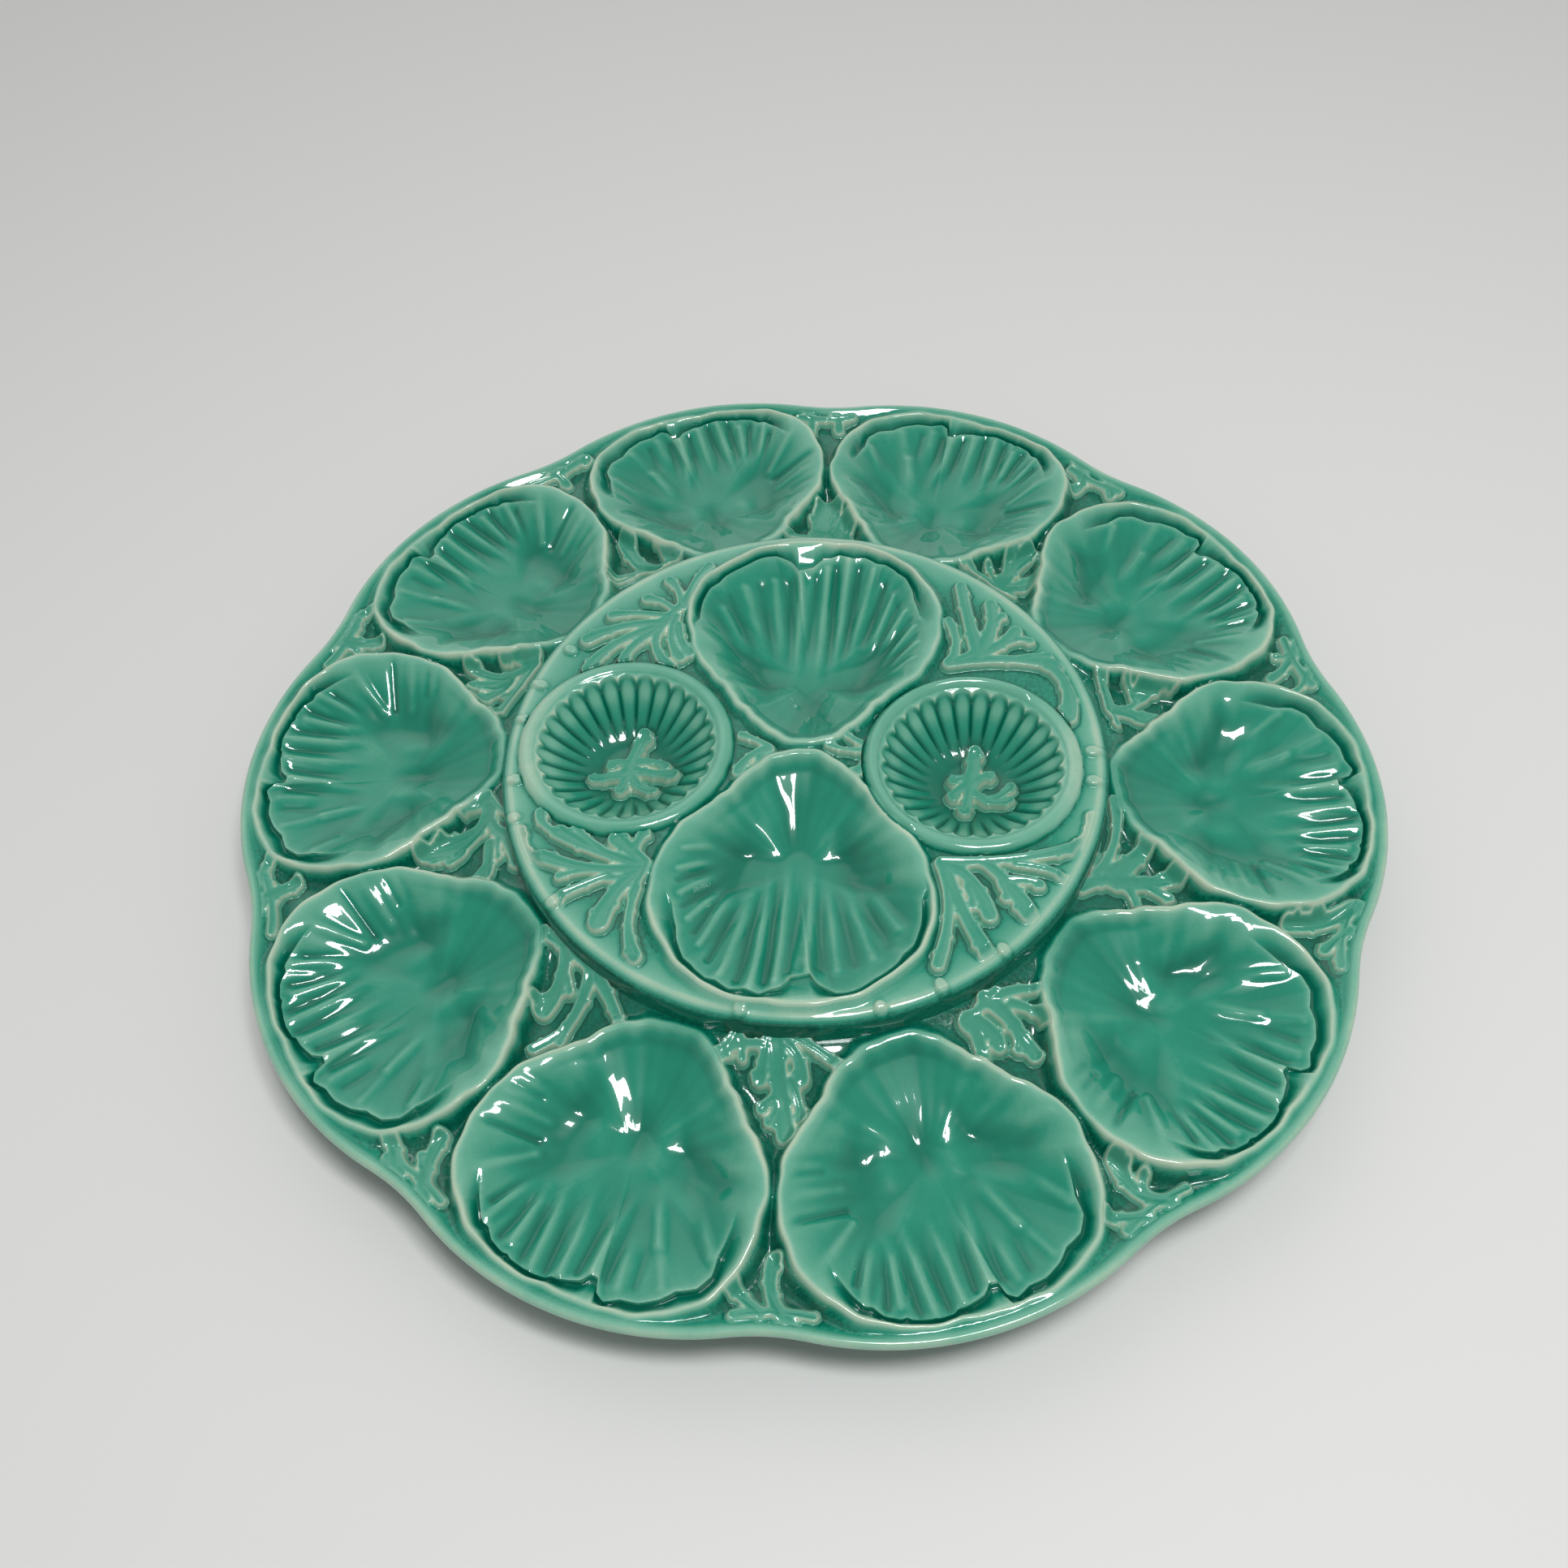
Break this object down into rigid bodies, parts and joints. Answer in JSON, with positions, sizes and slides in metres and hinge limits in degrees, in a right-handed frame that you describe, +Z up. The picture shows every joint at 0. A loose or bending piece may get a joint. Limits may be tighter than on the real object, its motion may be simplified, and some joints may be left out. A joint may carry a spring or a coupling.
{
  "type": "oyster plate",
  "caption": "Round scalloped oyster plate in glazed earthenware, with fluted shell wells in a ring round a raised centre that holds more wells, sauce cups and seaweed in relief.",
  "frame": {"origin": "centre of the foot ring's underside, on the table", "axes": "+Z up out of the plate; +X towards the middle of the first rim lobe, which is the plate's longest way; +Y from the near side to the far side as pictured"},
  "size_m": [0.37, 0.3618, 0.0406],
  "materials": {
    "glaze_ground": "gloss",
    "glaze_shell": "gloss",
    "glaze_weed": "gloss",
    "glaze_foot": "gloss"
  },
  "bodies": {
    "root": {"platter_body": "glaze_ground", "raised_centre": "glaze_ground", "foot_ring": "glaze_foot", "oyster_well_01": "glaze_shell", "oyster_well_02": "glaze_shell", "oyster_well_03": "glaze_shell", "oyster_well_04": "glaze_shell", "oyster_well_05": "glaze_shell", "oyster_well_06": "glaze_shell", "oyster_well_07": "glaze_shell", "oyster_well_08": "glaze_shell", "oyster_well_09": "glaze_shell", "oyster_well_10": "glaze_shell", "centre_well_back": "glaze_shell", "centre_well_front": "glaze_shell", "sauce_cup_left": "glaze_shell", "sauce_cup_right": "glaze_shell", "weed_spray_01": "glaze_weed", "weed_spray_02": "glaze_weed", "weed_spray_03": "glaze_weed", "weed_spray_04": "glaze_weed", "weed_spray_05": "glaze_weed", "weed_spray_06": "glaze_weed", "weed_spray_07": "glaze_weed", "weed_spray_08": "glaze_weed", "weed_spray_09": "glaze_weed", "weed_spray_10": "glaze_weed", "rim_weed_01": "glaze_weed", "rim_weed_02": "glaze_weed", "rim_weed_03": "glaze_weed", "rim_weed_04": "glaze_weed", "rim_weed_05": "glaze_weed", "rim_weed_06": "glaze_weed", "rim_weed_07": "glaze_weed", "rim_weed_08": "glaze_weed", "rim_weed_09": "glaze_weed", "rim_weed_10": "glaze_weed", "centre_weed_back_left": "glaze_weed", "centre_weed_back_right": "glaze_weed", "centre_weed_front_left": "glaze_weed", "centre_weed_front_right": "glaze_weed", "middle_weed_left": "glaze_weed", "middle_weed_right": "glaze_weed", "cup_sprig_left": "glaze_weed", "cup_sprig_right": "glaze_weed"}
  },
  "joints": []
}
